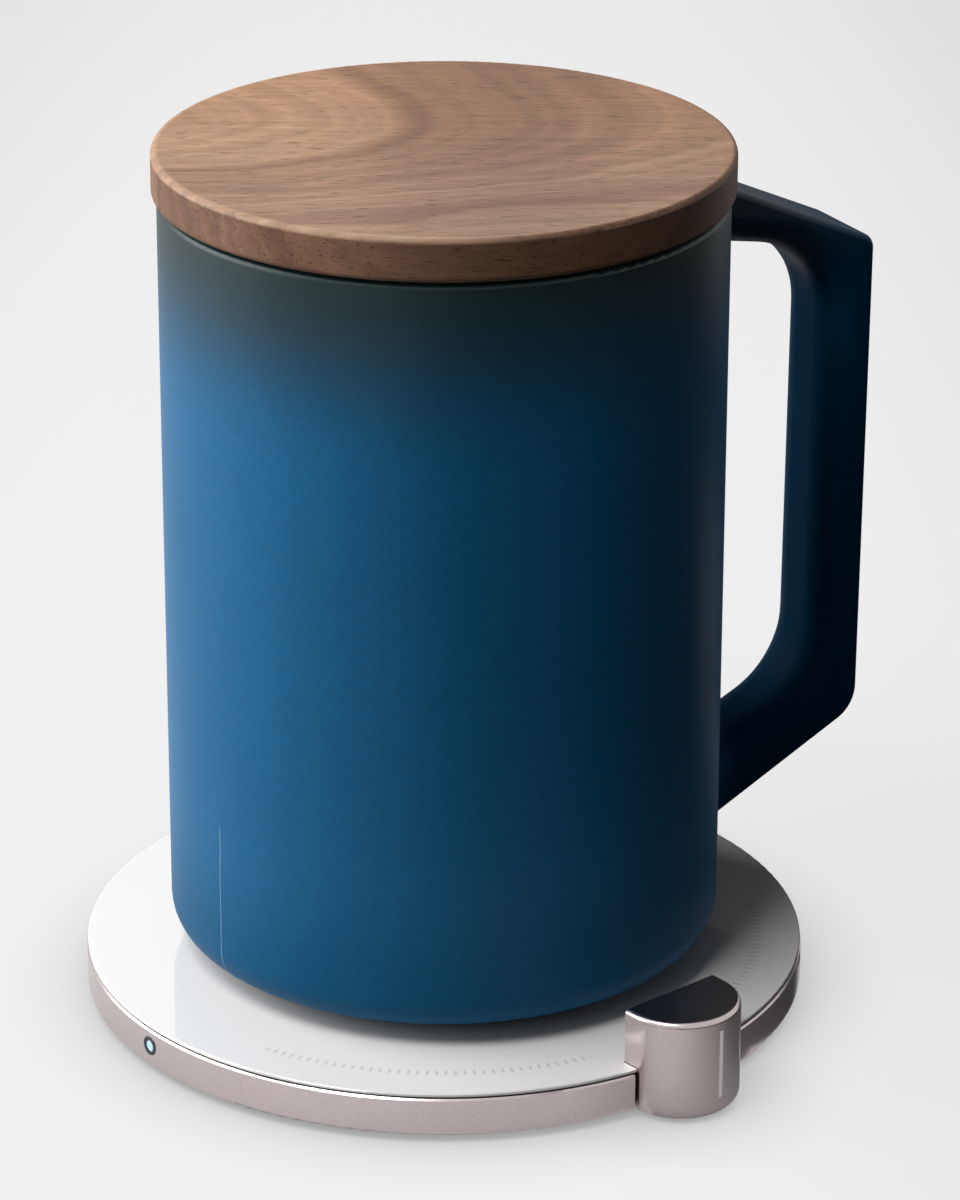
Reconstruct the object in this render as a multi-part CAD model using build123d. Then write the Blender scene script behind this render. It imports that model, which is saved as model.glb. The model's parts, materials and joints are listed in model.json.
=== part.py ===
from build123d import *
import os
from math import radians, sqrt, tan

# Self-heating mug: a ceramic mug with a walnut lid, standing on a round wireless heating hub.
# Millimetres, +Z up. The origin is the centre of the hub's foot pad, on the table.
# The handle points along +X. A bearing is an angle about +Z, counted from +X towards +Y.

# Hub, outside
hub_diameter = 110.4
rim_wall = 1.6
rim_flange_width = 4.6
rim_flange_thickness = 1.0
rim_foot_round = 0.8
rim_top_bevel = 0.25
plate_thickness = 0.5
plate_inset = 0.15
plate_edge_round = 0.2
gasket_thickness = 0.35
gasket_recess = 0.5
pad_inset = 5.7
pad_proud = 1.0
pad_sink = 0.4
pad_edge_round = 0.4
cover_thickness = 1.4

# Deck that carries the plate
deck_skin = 0.7
deck_lip_thickness = 0.8
deck_lip_width = 3.5
deck_lip_overlap = 2.0
deck_boss_radius = 2.2
deck_boss_inset = 2.85
deck_boss_turn = 45.0
deck_boss_count = 4

# Transmitter coil stack
coil_inner_radius = 9.0
coil_pitch = 1.9
coil_wire_width = 1.4
coil_wire_height = 1.2
ferrite_margin = 0.5
ferrite_thickness = 0.8
tray_floor = 0.8
tray_wall = 1.05
tray_wall_height = 1.2
tray_leg_inset = 8.725
tray_leg_width = 2.0
plate_sensor_radius = 2.0

# Main board
board_edge_gap = 0.775
board_gap = 1.3
board_width = 13.0
board_thickness = 0.8
board_lift = 0.5
board_tab_width = 14.0
board_tab_reach = 7.0
standoff_radius = 1.8
chip_side = 5.0
chip_height = 0.9
capacitor_length = 3.2
capacitor_width = 2.5
capacitor_height = 1.5
inductor_radius = 3.0
inductor_height = 1.6
board_headroom = 0.8
chip_bearings = (85.0, 120.0, -10.0)
capacitor_bearings = (10.0, 25.0, 160.0, 205.0)
inductor_bearings = (-100.0, -55.0)

# Small screws
screw_shank_radius = 0.7
screw_head_radius = 1.3
screw_head_height = 0.5
screw_bite = 0.5

# Power inlet, on the side away from the post
socket_width = 8.94
socket_height = 3.1
socket_depth = 7.3
socket_shell = 0.3
socket_back = 1.1
socket_corner_flat = 0.1
socket_setback = 0.4
tongue_side_gap = 0.82
tongue_thickness = 0.7
tongue_setback = 1.0

# Lamp on the rim
lamp_bearing = -171.7
bezel_radius = 1.45
bezel_proud = 0.1
lens_radius = 0.95
lens_dome = 0.15
led_depth = 1.6
led_width = 3.0
led_height = 1.6

# Half-round post on the hub's edge
post_bearing = -78.6
post_radius = 9.0
post_sink = 3.7
post_side_length = 2.1
post_lift = 0.3
post_height = 16.2
post_wall = 1.3
post_tongue_lift = 0.3
post_top_round = 0.8
post_foot_round = 1.9
post_back_thickness = 1.2
post_tongue_thickness = 1.0
post_tongue_width = 8.0
post_tongue_length = 6.6
post_screw_inset = 4.6
bar_width = 0.7
bar_end_gap = 0.55
bar_flange_width = 2.4
bar_flange_thickness = 0.65
bar_flange_margin = 0.2
light_board_thickness = 0.8
post_led_count = 3
post_led_depth = 0.5
post_led_side = 1.6

# Mug
mug_diameter = 84.0
mug_height = 116.9
mug_wall = 4.0
mug_floor = 4.0
mug_floor_round = 6.0
mug_lip_round = 0.8
mug_foot_round = 5.2
mug_foot_rim = 2.8

# Handle of the mug
handle_reach = 29.0
handle_width = 15.2
handle_top_drop = 3.3
handle_top_slope = 24.8
handle_low_rise = 7.8
handle_low_slope = 27.1
grip_thickness = 7.4
grip_foot_inset = 0.6
upper_arm_swell = 2.8
upper_arm_taper = 13.8
lower_arm_swell = 2.8
lower_arm_taper = 1.6
outer_top_round = 2.5
outer_low_round = 6.0
loop_top_round = 14.0
loop_low_round = 13.5
grip_side_flat = 2.4
handle_outer_edge_round = 1.0
handle_root_depth = 2.5
handle_root_round = 1.2

# Foot of the mug
foot_cover_floor = 1.5
foot_cover_proud = 1.79
foot_cover_wall = 1.5
foot_cover_wall_gap = 0.69
foot_ring_inset = 3.85
foot_ring_width = 4.0
foot_ring_proud = 0.76
foot_ring_sink = 0.74
foot_ring_round = 0.3
receiver_inner_radius = 8.0
receiver_pitch = 1.8
receiver_wire_width = 1.3
receiver_wire_height = 1.0
receiver_ferrite_margin = 0.9
receiver_ferrite_gap = 1.25
receiver_ferrite_thickness = 0.8
receiver_board_margin = 0.8
receiver_board_thickness = 0.8
receiver_standoff_inset = 3.35
receiver_standoff_height = 2.6
receiver_screw_count = 3
receiver_screw_bite = 2.0
receiver_chip_circle = 15.0
receiver_chip_side = 6.0
receiver_chip_height = 1.2
receiver_chip_count = 4
receiver_headroom = 0.29
spreader_thickness = 1.0
heater_thickness = 0.4
insulation_thickness = 1.5
heater_margin = 1.0
mug_sensor_radius = 1.2
mug_sensor_height = 1.4
mug_sensor_circle = 18.0

# Lid
lid_thickness = 6.5
lid_overhang = 0.76
lid_edge_round = 0.8
plug_depth = 6.5
plug_retainer_gap = 1.8
plug_retainer_thickness = 1.5
plug_edge_round = 0.6
seal_flange_thickness = 0.5
seal_flange_inset = 1.4
seal_core_thickness = 2.8
seal_lip_reach = 1.2
seal_lip_gap = 0.4
seal_lip_thickness = 0.8
seal_lip_pitch = 1.8
seal_lip_count = 2

# Clearances
fit_gap = 0.15
parting_gap = 0.5
light_gap = 0.05
screw_gap = 0.05
seal_gap = 0.05
led_gap = 0.3
sensor_gap = 0.3
tray_gap = 0.3


def whole_turns(inner, outer, pitch, wire_width):
    """Number of whole turns of a flat spiral that fit between two radii."""
    return int((outer - inner - wire_width + pitch / 4) / pitch + fit_gap)


# Radii and heights that follow from the sizes above
hub_radius = hub_diameter / 2
rim_inner_radius = hub_radius - rim_wall
flange_inner_radius = rim_inner_radius - rim_flange_width
plate_radius = hub_radius - plate_inset
pad_radius = hub_radius - pad_inset
cover_radius = rim_inner_radius - fit_gap
rim_bottom = pad_proud
cover_top = rim_bottom + cover_thickness
board_under = cover_top + board_lift
board_top = board_under + board_thickness
flange_under = board_top + inductor_height + board_headroom
rim_top = flange_under + rim_flange_thickness
plate_under = rim_top + gasket_thickness
plate_top = plate_under + plate_thickness
deck_radius = flange_inner_radius - fit_gap
deck_lip_radius = deck_radius + deck_lip_width
deck_lip_under = flange_under - deck_lip_thickness
deck_boss_circle = deck_radius - deck_boss_inset

board_outer_radius = deck_boss_circle - deck_boss_radius - board_edge_gap
board_inner_radius = board_outer_radius - board_width
board_middle = (board_inner_radius + board_outer_radius) / 2
tray_radius = board_inner_radius - board_gap
tray_leg_radius = tray_radius - tray_leg_inset
ferrite_radius = tray_radius - tray_wall - fit_gap
coil_turns = whole_turns(coil_inner_radius, ferrite_radius - ferrite_margin, coil_pitch, coil_wire_width)
pocket_radius = tray_radius + tray_gap
pocket_top = plate_under - deck_skin
coil_under = pocket_top - coil_wire_height
ferrite_under = coil_under - ferrite_thickness
tray_under = ferrite_under - tray_floor

lamp_height = board_top + led_height / 2
socket_bearing = post_bearing + 180
socket_front = hub_radius - socket_setback
socket_middle = (cover_top + flange_under) / 2
socket_corner = (socket_height - socket_corner_flat) / 2
tongue_width = socket_width - 2 * socket_shell - 2 * tongue_side_gap
first_boss = socket_bearing + deck_boss_turn
boss_bearings = [first_boss + step * 360 / deck_boss_count for step in range(deck_boss_count)]

post_flat_radius = hub_radius - post_sink
post_axis = post_flat_radius + post_side_length
post_top = post_lift + post_height
post_cavity_radius = post_radius - post_wall
post_cavity_under = cover_top + post_tongue_lift
post_cavity_top = post_top - post_wall
post_cavity_middle = (post_cavity_under + post_cavity_top) / 2
bar_flange_height = post_cavity_top - post_cavity_under - 2 * bar_end_gap
bar_height = bar_flange_height - 2 * bar_flange_margin
bar_flange_half = bar_flange_width / 2
bar_flange_out = sqrt(post_cavity_radius**2 - bar_flange_half**2) - light_gap
bar_flange_in = bar_flange_out - bar_flange_thickness
light_board_out = bar_flange_in - post_led_depth
light_board_half = sqrt(post_cavity_radius**2 - light_board_out**2) - light_gap

mug_radius = mug_diameter / 2
mug_inner_radius = mug_radius - mug_wall
foot_cover_under = plate_top + foot_ring_proud
mug_foot = foot_cover_under + foot_cover_proud
mug_lip = mug_foot + mug_height
recess_radius = mug_radius - mug_foot_round - mug_foot_rim

foot_cover_radius = recess_radius - fit_gap
foot_cover_inner = foot_cover_radius - foot_cover_wall
foot_cover_top = foot_cover_under + foot_cover_floor
foot_ring_outer = foot_cover_radius - foot_ring_inset
foot_ring_inner = foot_ring_outer - foot_ring_width
receiver_standoff_circle = foot_cover_inner - receiver_standoff_inset
receiver_ferrite_radius = receiver_standoff_circle - standoff_radius - receiver_ferrite_gap
receiver_outer_radius = receiver_ferrite_radius - receiver_ferrite_margin
receiver_turns = whole_turns(
    receiver_inner_radius, receiver_outer_radius, receiver_pitch, receiver_wire_width
)
receiver_ferrite_under = foot_cover_top + receiver_wire_height
receiver_board_under = foot_cover_top + receiver_standoff_height
receiver_board_top = receiver_board_under + receiver_board_thickness
receiver_board_radius = foot_cover_inner - receiver_board_margin
insulation_under = receiver_board_top + receiver_chip_height + receiver_headroom
foot_cover_wall_top = insulation_under - foot_cover_wall_gap
heater_under = insulation_under + insulation_thickness
spreader_under = heater_under + heater_thickness
recess_top = spreader_under + spreader_thickness
cup_floor = recess_top + mug_floor
heater_radius = recess_radius - heater_margin

lid_under = mug_lip + seal_flange_thickness
lid_top = lid_under + lid_thickness
lid_radius = mug_radius + lid_overhang
seal_flange_radius = mug_radius - seal_flange_inset
seal_core_radius = mug_inner_radius - seal_lip_gap - seal_lip_reach
plug_neck_radius = seal_core_radius - seal_core_thickness
plug_retainer_radius = mug_inner_radius - plug_retainer_gap
plug_under = lid_under - plug_depth
retainer_top = plug_under + plug_retainer_thickness


# Shared shapes

def disc(radius, low, high):
    """Upright cylinder about the object's axis, between two heights."""
    return Pos(0, 0, low) * Cylinder(radius, high - low, align=(Align.CENTER, Align.CENTER, Align.MIN))


def ring(inner, outer, low, high):
    """Flat ring about the object's axis, between two heights."""
    return disc(outer, low, high) - disc(inner, low, high)


def turned(points, rounds):
    """Solid of revolution about Z: an outline of (radius, height) points, each with its corner's round."""
    outline = FilletPolyline(*points, radius=rounds, close=True)
    return revolve(Plane.XZ * make_face(outline), Axis.Z)


def at_bearing(bearing, radius, shape):
    """Turns a shape that faces +X to a bearing and moves it out to a radius."""
    return Rot(0, 0, bearing) * Pos(radius, 0, 0) * shape


def block(depth, width, low, high):
    """Box that starts at the local origin and runs along +X, between two heights."""
    return Pos(0, 0, low) * Box(depth, width, high - low, align=(Align.MIN, Align.CENTER, Align.MIN))


def group(solids):
    """Several separate solids in one piece list."""
    return Compound(children=list(solids))


def screw(head_under, tip):
    """Pan-head screw that stands upright, head on top."""
    return disc(screw_shank_radius, tip, head_under) + disc(
        screw_head_radius, head_under, head_under + screw_head_height
    )


def spiral(inner_radius, turns, pitch, width):
    """Flat spiral band from half turns about two centres, half a pitch apart."""
    step = pitch / 2
    inside = []
    outside = []
    for half in range(2 * turns):
        side = 1 if half % 2 else -1
        centre = (side * step / 2, 0)
        start = 180 if half % 2 else 0
        radius = inner_radius + half * step
        inside.append(CenterArc(centre, radius, start, 180))
        outside.append(CenterArc(centre, radius + width, start, 180))
    caps = [Line(inside[0] @ 0, outside[0] @ 0), Line(inside[-1] @ 1, outside[-1] @ 1)]
    samples = 12
    gaps = []
    for half in range(2 * turns - 2):
        for sample in range(samples + 1):
            here = outside[half] @ (sample / samples)
            beyond = inside[half + 2] @ (sample / samples)
            gaps.append((beyond - here).length)
    print("least gap between turns, mm:", round(min(gaps), 3))
    return make_face([*inside, *outside, *caps])


def post_prism(radius, side_length, low, high):
    """Upright prism of the post's section, facing +X: straight sides from the flat, then a half round."""
    nose = disc(radius, low, high) & block(radius, 2 * radius, low, high)
    return nose + Pos(-side_length, 0, 0) * block(side_length, 2 * radius, low, high)


def post_notch(gap):
    """Room for the post in the pieces of the hub that it passes through."""
    room = post_prism(post_radius + gap, post_side_length + gap, -pad_proud, plate_top + post_top)
    return at_bearing(post_bearing, post_axis, room)


def lamp_bore(radius, start, end):
    """Lying cylinder along the lamp's axis, between two distances from the hub's axis."""
    lying = Rot(0, 90, 0) * Cylinder(radius, end - start, align=(Align.CENTER, Align.CENTER, Align.MIN))
    return at_bearing(lamp_bearing, start, Pos(0, 0, lamp_height) * lying)


def socket_slab(grow, start, end):
    """Lying slab with the power inlet's rounded section, between two distances from the hub's axis."""
    section = RectangleRounded(socket_width + 2 * grow, socket_height + 2 * grow, socket_corner + grow)
    slab = extrude(Plane.YZ * section, end - start)
    return at_bearing(socket_bearing, start, Pos(0, 0, socket_middle) * slab)


# Hub

def foot_pad():
    top = rim_bottom + pad_sink
    corners = [(0, 0), (pad_radius, 0), (pad_radius, top), (0, top)]
    return turned(corners, [0, pad_edge_round, 0, 0])


def base_cover():
    cover = disc(cover_radius, rim_bottom, cover_top)
    cover -= disc(pad_radius + fit_gap, rim_bottom, rim_bottom + pad_sink)
    post_boss = disc(standoff_radius, cover_top, post_cavity_under + fit_gap)
    cover += at_bearing(post_bearing, post_flat_radius - post_screw_inset, post_boss)
    for bearing in boss_bearings:
        cover += at_bearing(bearing, board_middle, disc(standoff_radius, cover_top, board_under))
    cover -= post_notch(fit_gap)
    bore = screw_shank_radius + screw_gap
    pilot = disc(bore, cover_top - screw_bite - screw_gap, post_top)
    for bearing in boss_bearings:
        cover -= at_bearing(bearing, board_middle, pilot)
        cover -= at_bearing(bearing, deck_boss_circle, disc(bore, rim_bottom, cover_top))
        head_room = disc(screw_head_radius + screw_gap, rim_bottom, rim_bottom + pad_sink + screw_head_height)
        cover -= at_bearing(bearing, deck_boss_circle, head_room)
    return cover - at_bearing(post_bearing, post_flat_radius - post_screw_inset, pilot)


def cover_screws():
    """Screws from below, under the foot pad, that draw the cover and the deck together."""
    solids = []
    head_low = rim_bottom + pad_sink
    head_high = head_low + screw_head_height
    tip = flange_under - screw_bite
    for bearing in boss_bearings:
        body = disc(screw_shank_radius, head_high, tip) + disc(screw_head_radius, head_low, head_high)
        solids.append(at_bearing(bearing, deck_boss_circle, body))
    return group(solids)


def rim_housing():
    """Metal ring with an inward flange under the plate, open where the post stands."""
    corners = [
        (rim_inner_radius, rim_bottom),
        (hub_radius, rim_bottom),
        (hub_radius, rim_top - rim_top_bevel),
        (hub_radius - rim_top_bevel, rim_top),
        (flange_inner_radius, rim_top),
        (flange_inner_radius, flange_under),
        (rim_inner_radius, flange_under),
    ]
    rim = turned(corners, [0, rim_foot_round, 0, 0, 0, 0, 0])
    rim -= post_notch(parting_gap)
    rim -= lamp_bore(bezel_radius + light_gap, rim_inner_radius - rim_wall, hub_radius + rim_wall)
    return rim - socket_slab(fit_gap, rim_inner_radius - rim_wall, hub_radius + rim_wall)


def plate_gasket():
    gasket = ring(flange_inner_radius, plate_radius - gasket_recess, rim_top, plate_under)
    return gasket - post_notch(fit_gap)


def glass_plate():
    corners = [(0, plate_under), (plate_radius, plate_under), (plate_radius, plate_top), (0, plate_top)]
    return turned(corners, [0, 0, plate_edge_round, 0]) - post_notch(fit_gap)


def deck():
    """Moulded deck: carries the plate, grips the rim's flange from below and takes the cover's screws."""
    body = disc(deck_radius, flange_under, plate_under)
    body += ring(deck_radius - deck_lip_overlap, deck_lip_radius, deck_lip_under, flange_under)
    for bearing in boss_bearings:
        body += at_bearing(bearing, deck_boss_circle, disc(deck_boss_radius, cover_top, flange_under))
    body -= disc(pocket_radius, flange_under, pocket_top)
    bore = screw_shank_radius + screw_gap
    pilot = disc(bore, cover_top, flange_under - screw_bite + screw_gap)
    for bearing in boss_bearings:
        body -= at_bearing(bearing, deck_boss_circle, pilot)
    body -= post_notch(fit_gap)
    lip_inner = deck_radius - deck_lip_overlap - fit_gap
    lip_depth = deck_lip_radius + fit_gap - lip_inner
    lamp_room = block(lip_depth, 2 * lens_radius + 2 * fit_gap, deck_lip_under, flange_under)
    body -= at_bearing(lamp_bearing, lip_inner, lamp_room)
    socket_room = block(lip_depth, socket_width + 2 * fit_gap, deck_lip_under, flange_under)
    return body - at_bearing(socket_bearing, lip_inner, socket_room)


def transmitter_coil():
    band = spiral(coil_inner_radius, coil_turns, coil_pitch, coil_wire_width)
    return Pos(0, 0, coil_under) * extrude(band, coil_wire_height)


def transmitter_ferrite():
    return disc(ferrite_radius, ferrite_under, coil_under)


def coil_tray():
    tray = disc(tray_radius, tray_under, ferrite_under)
    tray += ring(ferrite_radius + fit_gap, tray_radius, ferrite_under, ferrite_under + tray_wall_height)
    return tray + ring(tray_leg_radius, tray_leg_radius + tray_leg_width, cover_top, tray_under)


def plate_sensor():
    return disc(plate_sensor_radius, coil_under, pocket_top)


def main_board():
    """Ring-shaped board with a forked tab that holds the power inlet."""
    board = ring(board_inner_radius, board_outer_radius, board_under, board_top)
    tab_start = board_outer_radius - board_width / 2
    tab_depth = board_outer_radius + board_tab_reach - tab_start
    board += at_bearing(socket_bearing, tab_start, block(tab_depth, board_tab_width, board_under, board_top))
    board -= socket_slab(fit_gap, socket_front - socket_depth - fit_gap, socket_front)
    for bearing in boss_bearings:
        hole = disc(screw_shank_radius + screw_gap, board_under, board_top)
        board -= at_bearing(bearing, board_middle, hole)
    return board


def board_screws():
    upright = screw(board_top, cover_top - screw_bite)
    return group(at_bearing(bearing, board_middle, upright) for bearing in boss_bearings)


def board_blocks(bearings, length, width, height):
    """Flat parts soldered on the main board, one at each bearing."""
    part = Pos(-length / 2, 0, 0) * block(length, width, board_top, board_top + height)
    return group(at_bearing(bearing, board_middle, part) for bearing in bearings)


def board_inductors():
    wound = disc(inductor_radius, board_top, board_top + inductor_height)
    return group(at_bearing(bearing, board_middle, wound) for bearing in inductor_bearings)


def power_socket():
    """Flat oval inlet: a metal shell with a back wall and a contact tongue."""
    back = socket_front - socket_depth
    shell = socket_slab(0, back, socket_front) - socket_slab(-socket_shell, back + socket_back, socket_front)
    tongue = Pos(0, 0, socket_middle - tongue_thickness / 2) * block(
        socket_depth - socket_back - tongue_setback, tongue_width, 0, tongue_thickness
    )
    return shell + at_bearing(socket_bearing, back + socket_back, tongue)


def indicator_bezel():
    return lamp_bore(bezel_radius, rim_inner_radius, hub_radius + bezel_proud) - lamp_bore(
        lens_radius + light_gap, rim_inner_radius, hub_radius + bezel_proud
    )


def indicator_lens():
    """Light pipe from the LED to the rim, with a slightly domed outer end."""
    start = board_outer_radius + led_gap
    pipe = lamp_bore(lens_radius, start, hub_radius - lens_dome)
    return pipe + lamp_bore(lens_radius - lens_dome, hub_radius - lens_dome, hub_radius)


def indicator_led():
    lamp = block(led_depth, led_width, board_top, board_top + led_height)
    return at_bearing(lamp_bearing, board_outer_radius - led_depth, lamp)


# Post

def round_post_edges(body, height, radius):
    """Rounds the post's edges at one height, all but the one along its flat."""
    edges = []
    for edge in body.edges():
        middle = edge @ 0.5
        if abs(middle.Z - height) < light_gap and middle.X > light_gap - post_side_length:
            edges.append(edge)
    return fillet(edges, radius)


def post_housing():
    """Half-round cast shell, open at the flat side, with a slot for the light bar."""
    body = post_prism(post_radius, post_side_length, post_lift, post_top)
    body = round_post_edges(body, post_lift, post_foot_round)
    body = round_post_edges(body, post_top, post_top_round)
    body -= post_prism(post_cavity_radius, post_side_length, post_cavity_under, post_cavity_top)
    slot_low = post_cavity_middle - bar_height / 2
    body -= block(post_radius * 2, bar_width, slot_low, slot_low + bar_height)
    return at_bearing(post_bearing, post_axis, body)


def post_back():
    """Plate that closes the flat side, with a tongue that is screwed to the hub's cover."""
    low = post_cavity_under + fit_gap
    high = post_cavity_top - fit_gap
    plate = block(post_back_thickness, 2 * (post_cavity_radius - fit_gap), low, high)
    tongue = block(post_tongue_length, post_tongue_width, low, low + post_tongue_thickness)
    plate = at_bearing(post_bearing, post_flat_radius, plate + Pos(-post_tongue_length, 0, 0) * tongue)
    hole = disc(screw_shank_radius + screw_gap, low, low + post_tongue_thickness)
    return plate - at_bearing(post_bearing, post_flat_radius - post_screw_inset, hole)


def post_screw():
    seat = post_cavity_under + fit_gap + post_tongue_thickness
    return at_bearing(post_bearing, post_flat_radius - post_screw_inset, screw(seat, cover_top - screw_bite))


def post_light_bar():
    """Translucent bar that fills the slot, flush with the post's round, on a flange inside."""
    low = post_cavity_middle - bar_height / 2 + light_gap
    high = post_cavity_middle + bar_height / 2 - light_gap
    bar = block(post_radius, bar_width - 2 * light_gap, low, high)
    bar &= disc(post_radius, low, high)
    bar -= block(bar_flange_in, bar_flange_width, low, high)
    flange_low = post_cavity_middle - bar_flange_height / 2
    flange = block(bar_flange_thickness, bar_flange_width, flange_low, flange_low + bar_flange_height)
    return at_bearing(post_bearing, post_axis, bar + Pos(bar_flange_in, 0, 0) * flange)


def post_light_board():
    low = post_cavity_middle - bar_flange_height / 2
    board = block(light_board_thickness, 2 * light_board_half, low, low + bar_flange_height)
    return at_bearing(post_bearing, post_axis + light_board_out - light_board_thickness, board)


def post_leds():
    pitch = bar_height / post_led_count
    lowest = post_cavity_middle - pitch * (post_led_count - 1) / 2 - post_led_side / 2
    lamps = []
    for step in range(post_led_count):
        low = lowest + step * pitch
        lamp = block(post_led_depth, post_led_side, low, low + post_led_side)
        lamps.append(at_bearing(post_bearing, post_axis + light_board_out, lamp))
    return group(lamps)


# Mug

def handle():
    """Angular loop: two sloping arms and an upright grip, rounded strongly inside and lightly outside."""
    root = mug_radius - handle_root_depth
    out = mug_radius + handle_reach
    grip = out - grip_thickness
    out_low = out - grip_foot_inset
    grip_low = grip - grip_foot_inset
    top = mug_lip - handle_top_drop
    low = mug_foot + handle_low_rise
    fall = tan(radians(handle_top_slope))
    rise = tan(radians(handle_low_slope))
    upper_fall = tan(radians(handle_top_slope - upper_arm_taper))
    lower_rise = tan(radians(handle_low_slope - lower_arm_taper))
    loop_top = top - grip_thickness - upper_arm_swell
    loop_low = low + grip_thickness + lower_arm_swell
    outer = [
        (root, top - (root - mug_radius) * fall),
        (out, top - (out - mug_radius) * fall),
        (out_low, low + (out_low - mug_radius) * rise),
        (root, low + (root - mug_radius) * rise),
    ]
    loop = [
        (root, loop_top - (root - mug_radius) * upper_fall),
        (grip, loop_top - (grip - mug_radius) * upper_fall),
        (grip_low, loop_low + (grip_low - mug_radius) * lower_rise),
        (root, loop_low + (root - mug_radius) * lower_rise),
    ]
    outer_path = FilletPolyline(*outer, radius=[outer_top_round, outer_low_round])
    loop_path = FilletPolyline(*loop, radius=[loop_top_round, loop_low_round])
    ends = [Line(outer[0], loop[0]), Line(outer[3], loop[3])]
    side = Plane.XZ * make_face([*outer_path.edges(), *loop_path.edges(), *ends])
    body = extrude(side, handle_width / 2, both=True)
    inner_edges = []
    outer_edges = []
    for edge in body.edges():
        middle = edge @ 0.5
        on_side = abs(abs(middle.Y) - handle_width / 2) < handle_outer_edge_round / 100
        if on_side and middle.X > root + handle_outer_edge_round / 100:
            place = Vertex(middle.X, middle.Z, 0)
            nearer_loop = loop_path.distance_to(place) < outer_path.distance_to(place)
            (inner_edges if nearer_loop else outer_edges).append(edge)
    body = fillet(inner_edges, grip_thickness - grip_side_flat)
    outer_places = [edge @ 0.5 for edge in outer_edges]
    still_sharp = []
    for edge in body.edges():
        middle = edge @ 0.5
        if min((middle - place).length for place in outer_places) < handle_outer_edge_round / 100:
            still_sharp.append(edge)
    return fillet(still_sharp, handle_outer_edge_round)


def ceramic_mug():
    corners = [
        (0, recess_top),
        (recess_radius, recess_top),
        (recess_radius, mug_foot),
        (mug_radius, mug_foot),
        (mug_radius, mug_lip),
        (mug_inner_radius, mug_lip),
        (mug_inner_radius, cup_floor),
        (0, cup_floor),
    ]
    rounds = [0, 0, 0, mug_foot_round, mug_lip_round, mug_lip_round, mug_floor_round, 0]
    body = turned(corners, rounds) + handle()
    slack = handle_root_round / 100
    roots = []
    for edge in body.edges():
        middle = edge @ 0.5
        places = [edge @ 0, middle, edge @ 1]
        on_wall = all(abs(sqrt(place.X**2 + place.Y**2) - mug_radius) < slack for place in places)
        if on_wall and middle.X > 0 and abs(middle.Y) > slack:
            roots.append(edge)
    return fillet(roots, handle_root_round)


def mug_bottom_cover():
    """Dish bonded into the mug's foot: floor, wall, board standoffs and a groove for the foot ring."""
    cover = disc(foot_cover_radius, foot_cover_under, foot_cover_top)
    cover += ring(foot_cover_inner, foot_cover_radius, foot_cover_top, foot_cover_wall_top)
    standoff = disc(standoff_radius, foot_cover_top, receiver_board_under)
    pilot_low = receiver_board_under - receiver_screw_bite - screw_gap
    pilot = disc(screw_shank_radius + screw_gap, pilot_low, recess_top)
    for step in range(receiver_screw_count):
        bearing = step * 360 / receiver_screw_count
        cover += at_bearing(bearing, receiver_standoff_circle, standoff)
        cover -= at_bearing(bearing, receiver_standoff_circle, pilot)
    groove_top = foot_cover_under + foot_ring_sink
    return cover - ring(foot_ring_inner - seal_gap, foot_ring_outer + seal_gap, foot_cover_under, groove_top)


def mug_foot_ring():
    top = foot_cover_under + foot_ring_sink
    corners = [
        (foot_ring_inner, plate_top),
        (foot_ring_outer, plate_top),
        (foot_ring_outer, top),
        (foot_ring_inner, top),
    ]
    return turned(corners, [foot_ring_round, foot_ring_round, 0, 0])


def receiver_coil():
    band = spiral(receiver_inner_radius, receiver_turns, receiver_pitch, receiver_wire_width)
    return Pos(0, 0, foot_cover_top) * extrude(band, receiver_wire_height)


def receiver_ferrite():
    top = receiver_ferrite_under + receiver_ferrite_thickness
    return disc(receiver_ferrite_radius, receiver_ferrite_under, top)


def receiver_board():
    board = disc(receiver_board_radius, receiver_board_under, receiver_board_top)
    hole = disc(screw_shank_radius + screw_gap, receiver_board_under, receiver_board_top)
    for step in range(receiver_screw_count):
        board -= at_bearing(step * 360 / receiver_screw_count, receiver_standoff_circle, hole)
    return board


def receiver_screws():
    upright = screw(receiver_board_top, receiver_board_under - receiver_screw_bite)
    bearings = [step * 360 / receiver_screw_count for step in range(receiver_screw_count)]
    return group(at_bearing(bearing, receiver_standoff_circle, upright) for bearing in bearings)


def receiver_chips():
    chip = Pos(-receiver_chip_side / 2, 0, 0) * block(
        receiver_chip_side, receiver_chip_side, receiver_board_top, receiver_board_top + receiver_chip_height
    )
    turn = 360 / receiver_chip_count
    return group(at_bearing(step * turn, receiver_chip_circle, chip) for step in range(receiver_chip_count))


def heat_spreader():
    return disc(heater_radius, spreader_under, recess_top)


def heater_film():
    return disc(heater_radius, heater_under, spreader_under)


def insulation_pad():
    pad = disc(heater_radius, insulation_under, heater_under)
    well = disc(mug_sensor_radius + sensor_gap, insulation_under, heater_under)
    return pad - at_bearing(0, mug_sensor_circle, well)


def mug_sensor():
    bead = disc(mug_sensor_radius, heater_under - mug_sensor_height, heater_under)
    return at_bearing(0, mug_sensor_circle, bead)


# Lid

def walnut_lid():
    """Turned disc with a plug below: a neck for the seal and a wider edge that keeps the seal on."""
    corners = [
        (0, plug_under),
        (plug_retainer_radius, plug_under),
        (plug_retainer_radius, retainer_top),
        (plug_neck_radius, retainer_top),
        (plug_neck_radius, lid_under),
        (lid_radius, lid_under),
        (lid_radius, lid_top),
        (0, lid_top),
    ]
    return turned(corners, [0, plug_edge_round, 0, 0, 0, lid_edge_round, lid_edge_round, 0])


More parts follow.
